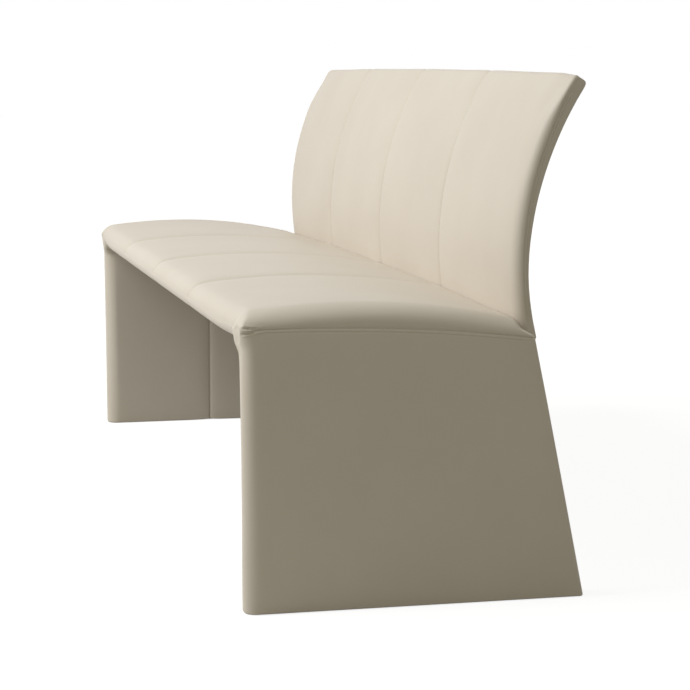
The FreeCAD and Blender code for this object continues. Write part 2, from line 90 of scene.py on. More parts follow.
# Rear edge, crown and rounded edges
leg_rear_floor = front_plane + 0.5615
leg_rear_slant = 0.087
leg_rear_height = 0.425
rear_slope = leg_rear_slant / leg_rear_height
crown_place = front_plane + 0.172
crown_radius = 1.230
rear_rise = 0.005
rear_rise_start = front_plane + 0.24
rear_rise_width = 0.22
end_droop = 0.0015
droop_start = 0.40
droop_width = 0.45
nose_top_radius = 0.025
nose_bottom_radius = 0.0165
bottom_turn_start = 0.78
bottom_turn_width = 0.12
least_flat = 0.0005
roll_front_width = 0.044
roll_rear_width = 0.040
roll_widens_from = front_plane + 0.20
roll_widens_over = 0.25
roll_height = 0.029
roll_clearance = 0.0015
seat_rear_radius = 0.007
end_rear_depth = 0.012
end_rear_fall = 0.018
end_rear_start = 0.800
end_rear_width = 0.105
end_corner_height = 0.4465
end_corner_fall = 0.018
back_clearance = 0.0012
corner_cut_width = 0.020

# Front edge, end seam, inner seam and underside
front_sweep = 0.020
front_sweep_top = 0.441
end_seam_height = 0.4544
end_seam_place = front_plane + 0.089
end_seam_radius = 2.84
end_seam_dip = 0.005
end_dip_place = front_plane + 0.026
end_dip_width = 0.036
inner_seam_place = front_plane + 0.248
turn_under = 0.016
dust_recess = 0.005
dust_sag = 0.0025
dust_sag_reach = 0.18
dust_ripple = 0.0006
dust_ripple_pitch = 0.055
dust_ripple_reach = 0.030

# Back
back_longer = 0.004
back_half = back_high.x + back_longer
back_front_radius = 0.575
lumbar_height = 0.540
lumbar_front = front_plane + 0.44755
back_thickness = 0.0305
back_top_extra = 0.0068
back_thicker_from = -0.06
back_thicker_over = 0.30
back_top_height = 0.8535
back_top_bow = 0.006
back_bottom_height = 0.413
back_corner_radius = 0.024
back_corner_power = 14.0
back_seam_depth = 0.021
back_end_roll = 0.021
back_tight_roll = 0.012
back_tight_reach = 0.085
back_end_taper = 0.003
back_top_taper = 0.009
back_taper_width = 0.060
back_top_roll = 0.014
back_bottom_roll = 0.005
back_rear_end_roll = 0.004
back_rear_top_roll = 0.009

# Seams and leather
leather_thickness = 0.0022
crease_depth = 0.0030
crease_width = 0.0021
valley_depth = 0.0022
valley_width = 0.014
end_crease_depth = 0.0022
end_crease_width = 0.0013
end_border_fade = 0.050

# Parts or multiples of these dips at the back's border and its ends, on the seat and under its nose
border_share = 0.16
end_border_share = 0.50
seat_crease = 1.6
seat_valley = 1.5
nose_seam_share = 0.12

# Reach of a seam round an edge, in arcs of that edge
seam_fade_nose = 1.5
seam_fade_front = 0.7
seam_fade_rear = 0.5

# Stitches, with lift and dive in radii of the thread
sewn_depth = 0.0006
sewn_width = 0.0011
stitch_distance = 0.0062
back_stitch_distance = 0.0035
stitch_pitch = 0.0042
stitch_length = 0.0032
stitch_radius = 0.0004
stitch_lift = 0.5
stitch_dive = 1.6
stitch_sides = 6
stitch_rings = 5
back_sewn_margin = 16

# Tucks, which grow and fade over shares of their length
tuck_start = (front_plane + 0.028, 0.4540)
tuck_end_place = front_plane - 0.006
tuck_end_heights = (0.4575, 0.4455)
tuck_depth = 0.0020
tuck_width = 0.0015
tuck_grow = 0.30
tuck_fade = 0.25
tuck_inset = 0.7 * leg_thickness
tuck_inset_width = 0.012
lip_share = 0.45
lip_place = 2.2 * tuck_width
lip_width = 1.1 * tuck_width
seat_puff = 0.0016
back_puff = 0.0022

# Foam
press_front = 0.010
press_front_reach = 0.03
press_end = 0.006
press_end_reach = 0.03
press_end_width = 0.02
press_down = 0.006
press_down_reach = 0.12
press_down_width = 0.06
press_down_height = 0.012
press_back_end = 0.032
rear_corner_place = front_plane + 0.436
rear_corner_height = 0.414

# Steps and points of the grids
seam_step = 0.0008
tuck_step = 0.0011
tuck_rows = 9
edge_step = 0.004
panel_step = 0.020
growth = 1.42
longest_ramp = 0.49
front_half_depth = 0.22
rear_half_depth = 0.20
measuring_place = front_plane + 0.20
arc_points = 9
# An odd count, because the sole folds about the middle point of the band
band_points = 9
roll_points = 14
end_points = 10
foot_points = 5
gap_shares = (0.35, 0.7, 1.0)
sole_insets = (0.010, 0.018, leg_thickness / 2.0 - sole_slit / 2.0)
corner_rows = 14
inner_seam_rows = 12
inner_seam_fade = 10.0
rear_rounds = 3
back_edge_points = 11
back_edge_coarse = 0.86
back_edge_fine = (0.91, 0.95, 0.98, 1.0)
dust_points_long = 241
dust_points_deep = 61
cloth_step = 0.011
cloth_least_share = 0.6
cloth_frames = 14
cloth_settings = {
    "quality": 6, "mass": 0.5, "air_damping": 2.0, "tension_stiffness": 40.0, "compression_stiffness": 40.0,
    "shear_stiffness": 20.0, "bending_stiffness": 8.0, "use_pressure": True, "uniform_pressure_force": 3.0,
    "vertex_group_mass": "held",
}


def smooth(value):
    """Zero below 0, one above 1, and an even turn between."""
    part = np.clip(value, 0.0, 1.0)
    return part * part * (3.0 - 2.0 * part)


def mix(first, second, part):
    """The value at this part of the way from the first to the second."""
    return first + (second - first) * part


def ramp(first, coarse, limit):
    """Places from 0 whose steps grow from the first one to the coarse one."""
    places = [0.0]
    step = first
    while step < coarse and places[-1] + step < limit:
        places.append(places[-1] + step)
        step *= growth
    return places


def graded(start, end, coarse, first, last):
    """Places from start to end, with a first and last step of the given sizes."""
    length = end - start
    head = ramp(first, coarse, longest_ramp * length)
    tail = ramp(last, coarse, longest_ramp * length)
    middle = length - head[-1] - tail[-1]
    count = max(1, round(middle / coarse))
    inside = [head[-1] + middle * i / count for i in range(1, count)]
    places = head + inside + [length - place for place in reversed(tail)]
    return start + np.array(places)


def running_length(steps):
    """Distance from the start, before the first step and after each one."""
    return np.concatenate([[0.0], np.cumsum(steps)])


# The seat and its two legs are one tube that runs up a leg, along the seat and down the other
def crown(x, y):
    """Height of the seat's top, whose rear lies a little higher in the middle than at the ends."""
    rise = mix(rear_rise, -end_droop, smooth((x - droop_start) / droop_width))
    rear = smooth((y - rear_rise_start) / rear_rise_width)
    return crown_height - (y - crown_place) ** 2 / (2.0 * crown_radius) + rise * rear


def end_seam(y):
    """Height of the seam between seat end and leg, which dips at the front corner."""
    dip = end_seam_dip * smooth((end_dip_place - y) / end_dip_width)
    return end_seam_height - (y - end_seam_place) ** 2 / (2.0 * end_seam_radius) - dip


def outer_line(zone, place, y):
    """Across and height of the outer skin at depth y, and its inward direction."""
    zero = np.zeros_like(y)
    one = np.ones_like(y)
    wider = smooth((y - roll_widens_from) / roll_widens_over)
    wide = mix(roll_front_width, roll_rear_width, wider)
    start = half_length - wide
    top = crown(np.minimum(start, place if zone == "seat" else start), y)
    high = np.minimum(top - end_seam(y) - roll_clearance, roll_height)
    if zone == "seat":
        return place * one, top, zero, -one
    if zone == "end":
        x = mix(corner_start, start, place)
        return x, crown(x, y), zero, -one
    if zone == "roll":
        sine, cosine = np.sin(place), np.cos(place)
        x = half_length - wide * (1.0 - sine)
        return x, top - high * (1.0 - cosine), -sine * one, -cosine * one
    if zone == "gap":
        return half_length * one, mix(top - high, end_seam(y), place), -one, zero
    if zone == "leg":
        return half_length * one, mix(floor_gap, end_seam(y), place), -one, zero
    return (half_length - place) * one, foot_level(place) * one, -one, zero


def foot_level(inset):
    """Height of the foot's rounding where the leg is narrower by inset on every side."""
    part = 1.0 - min(inset, foot_radius) / foot_radius
    return floor_gap + foot_radius * (1.0 - np.sqrt(1.0 - part * part))


def inner_line(zone, place, turn, level):
    """Across and height of the inner skin, and the direction into the padding."""
    if zone == "seat":
        return place, underside, 0.0, 1.0
    if zone == "foot":
        return inner_face + place, level, 1.0, 0.0
    if turn < 1.0:
        angle = turn * np.pi / 2.0
        sine, cosine = np.sin(angle), np.cos(angle)
        across = corner_start + inner_corner_radius * sine
        return across, inner_corner_level + inner_corner_radius * cosine, sine, cosine
    return inner_face, level, 1.0, 0.0


def bridge(outer, inner, part):
    """Points between the two skins, which leave each of them squarely."""
    x0, z0, dx0, dz0 = outer
    x1, z1, dx1, dz1 = inner
    third = np.hypot(x1 - x0, z1 - z0) / 3.0
    rest = 1.0 - part
    a, b, c, d = rest ** 3, 3.0 * part * rest ** 2, 3.0 * part ** 2 * rest, part ** 3
    x = a * x0 + b * (x0 + third * dx0) + c * (x1 + third * dx1) + d * x1
    z = a * z0 + b * (z0 + third * dz0) + c * (z1 + third * dz1) + d * z1
    return x, z


def rear_limit(x, z, leg_share):
    """Depth of the rear edge: straight behind the seat, slanting down the legs."""
    slant = leg_rear_floor - rear_slope * z
    beside = smooth((x - back_half - back_clearance) / corner_cut_width)
    beside = beside * smooth((end_corner_height - z) / end_corner_fall)
    return mix(seat_rear, slant, np.maximum(leg_share, beside))


def skin_places():
    """Shares of the way from the front of a skin to its rear, with lines at the inner seam."""
    panel, edge, seam = [step / front_half_depth for step in (panel_step, edge_step, seam_step)]
    front = graded(0.0, 1.0, panel, edge, seam)
    panel, edge, seam = [step / rear_half_depth for step in (panel_step, edge_step, seam_step)]
    rear = graded(1.0, 2.0, panel, seam, edge)
    return np.concatenate([front, rear[1:]])


# Columns of a ring: outer skin, band round the front, inner skin, band round the rear
shares = skin_places()
skin = len(shares)
inner_first = skin + 2 * arc_points + band_points
inner_column = inner_first + int(np.argmin(np.abs(shares - 1.0)))
rear_first = inner_first + skin


def depth_at(share, front, rear):
    """Depth at a share of the way: 0 at the front, 1 at the inner seam, 2 at the rear."""
    before = mix(front, inner_seam_place, share)
    behind = mix(inner_seam_place, rear, share - 1.0)
    return np.where(share < 1.0, before, behind)


def front_limit(overhang, height, drop):
    """Depth of the front edge, which falls back from the seat's nose to the leaning leg."""
    lean = leg_lean * min(height / underside, 1.0)
    return front_plane - overhang + (end_overhang - lean) * drop


def edge_radii(x, z, turn, leg_share):
    """Radii of a ring's edges: front top and bottom, rear top in depth and in height, rear bottom."""
    leg_part = smooth((front_turn_top - z) / front_turn_fall)
    end_part = smooth((x - inner_face) / corner_pinch_width)
    pinch = end_part * np.exp(-((z - corner_pinch_height) / corner_pinch_reach) ** 2)
    top = mix(mix(nose_top_radius, leg_front_radius, leg_part), corner_pinch_radius, pinch)
    low_part = smooth((x - bottom_turn_start) / bottom_turn_width)
    low = mix(nose_bottom_radius, leg_inner_radius, low_part)
    low = mix(low, inner_pinch_radius, np.sin(np.pi * turn) ** 2)
    rounder = smooth((x - end_rear_start) / end_rear_width)
    slimmer = smooth((leg_rear_turn_top - z) / leg_rear_turn_fall)
    rear_top = mix(mix(seat_rear_radius, end_rear_depth, rounder), leg_rear_radius, slimmer)
    rear_fall = mix(mix(seat_rear_radius, end_rear_fall, rounder), leg_rear_radius, slimmer)
    rear_low = mix(seat_rear_radius, leg_rear_radius, leg_share)
    return top, low, rear_top, rear_fall, rear_low


def station_loop(zone, place, turn, level):
    """One ring of points round the tube, from the rear of the outer skin forward and back inside."""
    one = np.ones(1)
    x_front, z_front = np.ravel(outer_line(zone, place, front_plane * one)[:2])
    inset = place if zone == "foot" else 0.0
    fade = smooth((x_front - overhang_fade_start) / overhang_fade_width)
    overhang = mix(nose_overhang, end_overhang, fade)
    drop = smooth((front_sweep_top - z_front) / front_sweep)
    front = inset + front_limit(overhang, z_front, drop)
    front_inner = inset + front_limit(overhang, level, smooth(turn))
    leg_share = smooth((turn - leg_turn_start) / leg_turn_width)
    radii = [max(radius - inset, 0.0) for radius in edge_radii(x_front, z_front, turn, leg_share)]
    top_radius, low_radius, rear_top, rear_fall, rear_low = radii
    inner = inner_line(zone, place, turn, level)

    def outer(y):
        return outer_line(zone, place, y)

    rear = seat_rear * one
    for _ in range(rear_rounds):
        x, z = outer(rear)[:2]
        rear = rear_limit(x, z, leg_share) - inset
    rear_inner = rear_limit(inner[0] * one, inner[1] * one, leg_share) - inset
    y_skin = depth_at(shares, front + top_radius, rear - rear_top)
    x_skin, z_skin = outer(y_skin)[:2]
    outer_skin = np.stack([x_skin, y_skin, z_skin], axis=1)[::-1]
    y_inner = depth_at(shares, front_inner + low_radius, rear_inner - rear_low)
    inner_skin = np.stack([inner[0] + 0 * y_inner, y_inner, inner[1] + 0 * y_inner], axis=1)
    if turn <= 0.0 and corner_start - x_front > turn_under:
        under = (y_inner > front_plane + turn_under) & (y_inner < seat_rear - turn_under)
        inner_skin[under, 2] += dust_recess

    angles = np.linspace(0.0, np.pi / 2.0, arc_points + 1)[1:]

    def thickness_at(depth):
        """Distance between the two skins at one depth."""
        x, z = outer(depth)[:2]
        return np.hypot(x - inner[0], z - inner[1])[0]

    def band(radius_outer, fall_outer, radius_inner, limit):
        """Share across the band and distance from its edge, from outer skin to inner skin."""
        thick = thickness_at(limit)
        share_out = fall_outer * (1.0 - np.cos(angles)) / thick
        share_in = 1.0 - radius_inner * (1.0 - np.cos(angles)) / thick
        between = np.linspace(share_out[-1], share_in[-1], band_points + 2)[1:-1]
        part = np.concatenate([share_out, between, share_in[::-1]])
        back_out = radius_outer * (1.0 - np.sin(angles))
        back_in = radius_inner * (1.0 - np.sin(angles))
        away = np.concatenate([back_out, 0.0 * between, back_in[::-1]])
        return part, away

    low_radius = min(low_radius, thickness_at(front * one) - top_radius - least_flat)
    part, away = band(top_radius, top_radius, low_radius, front * one)
    y_band = mix(front, front_inner, part) + away
    x_band, z_band = bridge(outer(y_band), inner, part)
    front_band = np.stack([x_band, y_band, z_band], axis=1)
    part, away = band(rear_top, rear_fall, rear_low, rear)
    guess = mix(rear, rear_inner, part) - away
    x_band, z_band = bridge(outer(guess), inner, part)
    y_band = rear_limit(x_band, z_band, leg_share) - inset - away
    rear_band = np.stack([x_band, y_band, z_band], axis=1)[::-1]
    return np.concatenate([outer_skin, front_band, inner_skin, rear_band])


def stations():
    """Zone and place of each ring of the right half, from the middle seam to the foot."""
    rings = [("seat", x) for x in graded(0.0, seam_spacing, panel_step, seam_step, seam_step)]
    beyond = graded(seam_spacing, corner_start, panel_step, seam_step, edge_step)
    rings += [("seat", x) for x in beyond[1:]]
    rings += [("end", share) for share in np.linspace(0.0, 1.0, end_points)[1:]]
    quarter = np.pi / 2.0
    coarse = quarter / roll_points
    close = np.arange(1, tuck_rows + 1) * tuck_step
    before = graded(0.0, quarter - close[-1] / roll_height, coarse, coarse, tuck_step / roll_height)
    angles = np.concatenate([before[1:], quarter - close[-2::-1] / roll_height, [quarter]])
    rings += [("roll", angle) for angle in angles]
    rings += [("gap", share) for share in gap_shares]
    drop = end_seam_height - floor_gap - foot_radius
    falls = np.concatenate([close, graded(close[-1], drop, panel_step, tuck_step, edge_step)[1:]])
    rings += [("leg", 1.0 - fall / (end_seam_height - floor_gap)) for fall in falls]
    bends = foot_radius * (1.0 - np.cos(np.linspace(0.0, quarter, foot_points)[1:]))
    rings += [("foot", inset) for inset in (*bends, *sole_insets)]
    return rings


rings = stations()
zones = [zone for zone, _ in rings]
from_side_seam = [abs(place - seam_spacing) if zone == "seat" else np.inf for zone, place in rings]
side_seam_row = int(np.argmin(from_side_seam))
end_seam_row = len(zones) - zones[::-1].index("gap") - 1
first_corner_row = zones.index("end")
corner_end_row = end_seam_row + corner_rows
first_foot_row = zones.index("foot")

# Rows of the whole tube, left foot to right foot
centre = len(rings) - 1
cross_rows = [centre, centre - side_seam_row, centre + side_seam_row]
end_rows = [centre - end_seam_row, centre + end_seam_row]
from_centre = np.abs(np.arange(2 * centre + 1) - centre)
foot_rows = from_centre >= first_foot_row
sole_rows = from_centre > first_foot_row + foot_points - 2


def half_tube():
    """Grid of the right half of the tube: ring by ring, point by point."""
    reference = np.array([measuring_place])
    line = np.array([np.ravel(outer_line(zone, place, reference)[:2]) for zone, place in rings])
    travel = running_length(np.hypot(*np.diff(line, axis=0).T))
    start = travel[first_corner_row - 1]
    level_rows = np.where(line[first_corner_row:, 1] <= inner_corner_level)[0]
    end = travel[first_corner_row + level_rows[0]]
    turns = np.clip((travel - start) / (end - start), 0.0, 1.0)
    return np.array([station_loop(*ring, turn, level) for ring, turn, level in zip(rings, turns, line[:, 1])])


def normals_of(grid, wrap):
    """Outward unit normals of a grid of points."""
    along = np.gradient(grid, axis=0)
    if wrap:
        around = np.roll(grid, -1, axis=1) - np.roll(grid, 1, axis=1)
    else:
        around = np.gradient(grid, axis=1)
    normal = np.cross(around, along)
    size = np.linalg.norm(normal, axis=2, keepdims=True)
    return normal / np.maximum(size, 1e-12)


def distance_along(grid, axis, line):
    """Distance over the surface from one grid line, measured along the other set of lines."""
    steps = np.linalg.norm(np.diff(grid, axis=axis), axis=2)
    travel = np.cumsum(steps, axis=axis)
    start = np.zeros_like(np.take(travel, [0], axis=axis))
    travel = np.concatenate([start, travel], axis=axis)
    return np.abs(travel - np.take(travel, [line], axis=axis))


def seam_fall(distance, crease=1.0, valley=1.0):
    """How far the leather dips towards a seam at this distance from it, with a wider dip on the seat."""
    sharp = crease * crease_depth * np.exp(-distance / (crease * crease_width))
    return sharp + valley * valley_depth * np.exp(-distance / (valley * valley_width))


def near_tuck(points, start, end):
    """Distance from the line of a tuck, seen from the bench's end, and the share of the way along it."""
    line = np.array(end) - np.array(start)
    away = points - np.array(start)
    share = np.clip(away @ line / (line @ line), 0.0, 1.0)
    return np.linalg.norm(away - share[..., None] * line, axis=-1), share


def tucks(grid):
    """Small tucks that spread from the end seam to the front corner, as dips with raised lips."""
    points = grid[:, :, 1:]
    outside = smooth((np.abs(grid[:, :, 0]) - half_length + tuck_inset) / tuck_inset_width)
    fold = np.zeros(grid.shape[:2])
    for height in tuck_end_heights:
        away, share = near_tuck(points, tuck_start, (tuck_end_place, height))
        strength = smooth(share / tuck_grow) * smooth((1.0 - share) / tuck_fade)
        dip = tuck_depth * np.exp(-(away / tuck_width) ** 2)
        lip = lip_share * tuck_depth * np.exp(-((away - lip_place) / lip_width) ** 2)
        fold += (lip - dip) * strength
    return fold * outside


def make_object(name, points, faces):
    """A mesh object in the scene."""
    mesh = bpy.data.meshes.new(name)
    mesh.from_pydata(points, [], faces)
    mesh.update()
    piece = bpy.data.objects.new(name, mesh)
    bpy.context.scene.collection.objects.link(piece)
    return piece


def grid_faces(rows, columns, wrap, first=0, flip=False):
    """Index quads of a grid, as rows of four."""
    across = columns if wrap else columns - 1
    r, c = np.meshgrid(np.arange(rows - 1), np.arange(across), indexing="ij")
    r, c = r.ravel(), c.ravel()
    n = (c + 1) % columns
    near = r * columns
    far = near + columns
    quads = np.stack([near + c, near + n, far + n, far + c], axis=1)
    return first + (quads[:, ::-1] if flip else quads)


def sole_partner(columns):
    """For each point of a ring, the point across the leg that it meets in the middle of the sole."""
    order = np.arange(columns)
    partner = order.copy()
    front = (order >= skin) & (order < inner_first)
    partner[front] = np.minimum(order[front], rear_first - 1 - order[front])
    inner = (order >= inner_first) & (order < rear_first)
    partner[inner] = rear_first - 1 - order[inner]
    rear = order >= rear_first
    partner[rear] = np.minimum(order[rear], rear_first + columns - 1 - order[rear])
    return partner


def closed_skin(name, grid, normals, wrap, closed_rows=(True, True), thickness=leather_thickness):
    """A closed skin of leather or cloth: the outer grid, an inner one, and the cut edges between them."""
    rows, columns = grid.shape[:2]
    count = rows * columns
    points = np.concatenate([grid.reshape(-1, 3), (grid - thickness * normals).reshape(-1, 3)])
    parts = [grid_faces(rows, columns, wrap), grid_faces(rows, columns, wrap, count, True)]
    order = np.arange(columns)
    follow = (order + 1) % columns
    keep = slice(None) if wrap else slice(0, columns - 1)
    if closed_rows[0]:
        parts.append(np.stack([follow, order, order + count, follow + count], axis=1)[keep])
    if closed_rows[1]:
        last = (rows - 1) * columns
        edge = np.stack([order, follow, follow + count, order + count], axis=1)[keep]
        parts.append(last + edge)
    if not wrap:
        down = np.arange(rows - 1) * columns
        parts.append(np.stack([down, down + columns, down + columns + count, down + count], axis=1))
        down = down + columns - 1
        parts.append(np.stack([down + columns, down, down + count, down + columns + count], axis=1))
    faces = np.concatenate(parts)
    both = np.concatenate([normals.reshape(-1, 3), -normals.reshape(-1, 3)])
    renamed = np.arange(len(points))
    for row, closed in zip((0, rows - 1), closed_rows):
        if wrap and not closed:
            line = row * columns + order
            renamed[line] = row * columns + sole_partner(columns)
            renamed[line + count] = renamed[line] + count
    used, faces = np.unique(renamed[faces], return_inverse=True)
    faces = faces.reshape(-1, 4)
    piece = make_object(name, points[used].tolist(), faces.tolist())
    piece.data.shade_smooth()
    piece.data.normals_split_custom_set_from_vertices(both[used].tolist())
    return piece


# The rows of stitches beside the end seams of seat and back
def stitch_row(name, grid, normals, row, step, columns, distance):
    """Short threads on the leather at some distance beside a seam, which is a row of the grid."""
    travel = distance_along(grid, 0, row)
    below = row + step * np.arange(2 * tuck_rows)
    line = np.zeros((len(columns), 3))
    outward = np.zeros((len(columns), 3))
    for i, column in enumerate(columns):
        reached = travel[below, column]
        for axis in range(3):
            line[i, axis] = np.interp(distance, reached, grid[below, column, axis])
            outward[i, axis] = np.interp(distance, reached, normals[below, column, axis])
    run = running_length(np.linalg.norm(np.diff(line, axis=0), axis=1))
    along = np.linspace(-1.0, 1.0, stitch_rings)
    turn = np.linspace(0.0, 2.0 * np.pi, stitch_sides, endpoint=False)
    points = []
    faces = []
    for centre in np.arange(stitch_pitch, run[-1] - stitch_pitch, stitch_pitch):
        at = centre + along * stitch_length / 2.0
        spine = np.stack([np.interp(at, run, line[:, axis]) for axis in range(3)], axis=1)
        up = np.stack([np.interp(at, run, outward[:, axis]) for axis in range(3)], axis=1)
        ahead = (spine[-1] - spine[0]) / np.linalg.norm(spine[-1] - spine[0])
        aside = np.cross(up, ahead)
        spine = spine + up * (stitch_radius * (stitch_lift - stitch_dive * along ** 2))[:, None]
        first = len(points)
        for middle, over, beside in zip(spine, up, aside):
            for angle in turn:
                around = np.cos(angle) * beside + np.sin(angle) * over
                points.append((middle + stitch_radius * around).tolist())
        faces += grid_faces(stitch_rings, stitch_sides, True, first).tolist()
        faces.append(list(range(first, first + stitch_sides))[::-1])
        last = first + (stitch_rings - 1) * stitch_sides
        faces.append(list(range(last, last + stitch_sides)))
    piece = make_object(name, points, faces)
    piece.data.shade_smooth()
    return piece


# Cloth: the leather is blown out a little over its padding and held at its seams
def spline_weights(knots, places):
    """Weights of a natural cubic curve through values at the knots, read at the places."""
    count = len(knots)
    gap = np.diff(knots)
    left = np.zeros((count, count))
    right = np.zeros((count, count))
    left[0, 0] = left[-1, -1] = 1.0
    for i in range(1, count - 1):
        left[i, i - 1:i + 2] = gap[i - 1], 2.0 * (gap[i - 1] + gap[i]), gap[i]
        right[i, i - 1:i + 2] = 1.0 / gap[i - 1], -1.0 / gap[i - 1] - 1.0 / gap[i], 1.0 / gap[i]
    bend = np.linalg.solve(left, 6.0 * right)
    cell = np.clip(np.searchsorted(knots, places, side="right") - 1, 0, count - 2)
    h = gap[cell]
    a = (knots[cell + 1] - places) / h
    b = (places - knots[cell]) / h
    weights = np.zeros((len(places), count))
    rows = np.arange(len(places))
    weights[rows, cell] += a
    weights[rows, cell + 1] += b
    from_left = ((a ** 3 - a) * h * h / 6.0)[:, None] * bend[cell]
    from_right = ((b ** 3 - b) * h * h / 6.0)[:, None] * bend[cell + 1]
    return weights + (from_left + from_right)


def thin_out(travel, wanted, fixed):
    """Every line that is needed, and others at least the wanted distance apart."""
    chosen = sorted(set(fixed) | {0, len(travel) - 1})
    kept = [chosen[0]]
    for line in range(1, len(travel)):
        ahead = [c for c in chosen if c > kept[-1]]
        limit = travel[ahead[0]] - cloth_least_share * wanted if ahead else travel[-1]
        if line in chosen or (travel[line] - travel[kept[-1]] >= wanted and travel[line] <= limit):
            kept.append(line)
    return np.array(kept)


def blown(name, grid, normals, held, wrap, fixed_rows, fixed_columns, cap):
    """How far each point of the grid moves outward under a cloth simulation, up to about the cap."""
    row_travel = running_length(np.linalg.norm(np.diff(grid, axis=0), axis=2).max(axis=1))
    column_travel = running_length(np.linalg.norm(np.diff(grid, axis=1), axis=2).max(axis=0))
    rows = thin_out(row_travel, cloth_step, fixed_rows)
    columns = thin_out(column_travel, cloth_step, fixed_columns)
    kept = np.ix_(rows, columns)
    coarse = grid[kept]
    pinned = held[kept]
    quads = grid_faces(len(rows), len(columns), wrap)
    sheet = make_object(name, coarse.reshape(-1, 3).tolist(), quads.tolist())
    group = sheet.vertex_groups.new(name="held")
    group.add([int(i) for i in np.where(pinned.ravel())[0]], 1.0, "REPLACE")
    modifier = sheet.modifiers.new("cloth", "CLOTH")
    for key, value in cloth_settings.items():
        setattr(modifier.settings, key, value)
    modifier.settings.effector_weights.gravity = 0.0
    modifier.collision_settings.use_collision = False
    modifier.point_cache.frame_start = 1
    modifier.point_cache.frame_end = cloth_frames
    for number in range(1, cloth_frames + 1):
        bpy.context.scene.frame_set(number)
    evaluated = sheet.evaluated_get(bpy.context.evaluated_depsgraph_get())
    moved = np.empty(len(sheet.data.vertices) * 3)
    evaluated.data.vertices.foreach_get("co", moved)
    bpy.context.scene.frame_set(1)
    mesh = sheet.data
    bpy.data.objects.remove(sheet)
    bpy.data.meshes.remove(mesh)
    shift = ((moved.reshape(coarse.shape) - coarse) * normals[kept]).sum(axis=2)
    shift[pinned] = 0.0
    shift = cap * np.tanh(shift / cap)
    by_row = spline_weights(row_travel[rows], row_travel)
    by_column = spline_weights(column_travel[columns], column_travel)
    return by_row @ shift @ by_column.T


def tube_normals(grid):
    """Outward normals of the tube, straight down on its soles."""
    normals = normals_of(grid, True)
    if normals[centre, skin // 2, 2] < 0.0:
        normals = -normals
    normals[sole_rows] = (0.0, 0.0, -1.0)
    return normals


def held_points(shape):
    """Points of the tube that don't puff out: its seams, feet, underside and rear edge."""
    held = np.zeros(shape, bool)
    held[cross_rows] = True
    held[end_rows, :skin + arc_points // 3] = True
    held[foot_rows] = True
    held[from_centre < corner_end_row, inner_first - arc_points:] = True
    held[:, [0, inner_column]] = True
    return held


def tube_falls(tube):
    """How far the tube's leather dips at its seams and stitches."""
    rows, columns = tube.shape[:2]
    column = np.arange(columns)
    shown = mix(1.0, nose_seam_share, smooth((column - skin) / (arc_points * seam_fade_nose)))
    fall = np.zeros((rows, columns))
    for row in cross_rows:
        fall += seam_fall(distance_along(tube, 0, row), seat_crease, seat_valley) * shown
    rear_fade = arc_points * seam_fade_rear
    on_front = (column - skin) / (arc_points * seam_fade_front)
    on_rear = (columns - rear_fade - column) / rear_fade
    beyond = smooth(np.where(column < inner_first, on_front, on_rear))
    on_leg_side = (from_centre > end_seam_row)[:, None]
    for row in end_rows:
        reach = distance_along(tube, 0, row)
        crease = end_crease_depth * np.exp(-reach / end_crease_width)
        stitched = sewn_depth * np.exp(-((reach - stitch_distance) / sewn_width) ** 2) * on_leg_side
        fall += (crease + stitched) * (1.0 - beyond)
    on_leg = smooth((from_centre - end_seam_row - inner_seam_rows) / inner_seam_fade)[:, None]
    inside = (column >= inner_first) & (column < rear_first)
    return fall + seam_fall(distance_along(tube, 1, inner_column)) * on_leg * inside


def leather_tube():
    """The covers of the seat and legs, and the stitches beside their end seams."""
    right = half_tube()
    left = right * np.array([-1.0, 1.0, 1.0])
    tube = np.concatenate([left[::-1][:-1], right])
    normals = tube_normals(tube)
    puff = np.zeros(tube.shape[:2])
    held = held_points(puff.shape)
    first = centre - first_foot_row
    above_sole = slice(first, centre + first_foot_row + 1)
    fixed_rows = [row - first for row in cross_rows + end_rows]
    puff[above_sole] = blown("tube_cloth", tube[above_sole], normals[above_sole], held[above_sole], True,
                             fixed_rows, [inner_column, inner_first], seat_puff)
    lift = puff - tube_falls(tube)
    lift[sole_rows] = 0.0
    finished = tube + normals * (lift + tucks(tube))[:, :, None]
    shaded = tube_normals(finished)
    last = len(tube) - 1
    cuts = [0, end_rows[0], cross_rows[1], centre, cross_rows[2], end_rows[1], last]
    names = ["leg_cover_left"] + [f"seat_cover_{n}" for n in (1, 2, 3, 4)] + ["leg_cover_right"]
    pieces = []
    for name, start, end in zip(names, cuts, cuts[1:]):
        rim = (start != 0, end != last)
        piece = closed_skin(name + "_leather", finished[start:end + 1], shaded[start:end + 1], True, rim)
        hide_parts(name)
        pieces.append(piece)
    sides = (("end_stitches_left", end_rows[0], -1), ("end_stitches_right", end_rows[1], 1))
    sewn = np.arange(2, skin - 1)
    threads = []
    for name, row, step in sides:
        threads.append(stitch_row(name, finished, shaded, row, step, sewn, stitch_distance))
    return pieces, threads


# The back is a thin pillow, bent backwards over its height
def arc_share(height):
    """Length along the back's front arc from the lumbar line up to a height."""
    return back_front_radius * np.arcsin((height - lumbar_height) / back_front_radius)


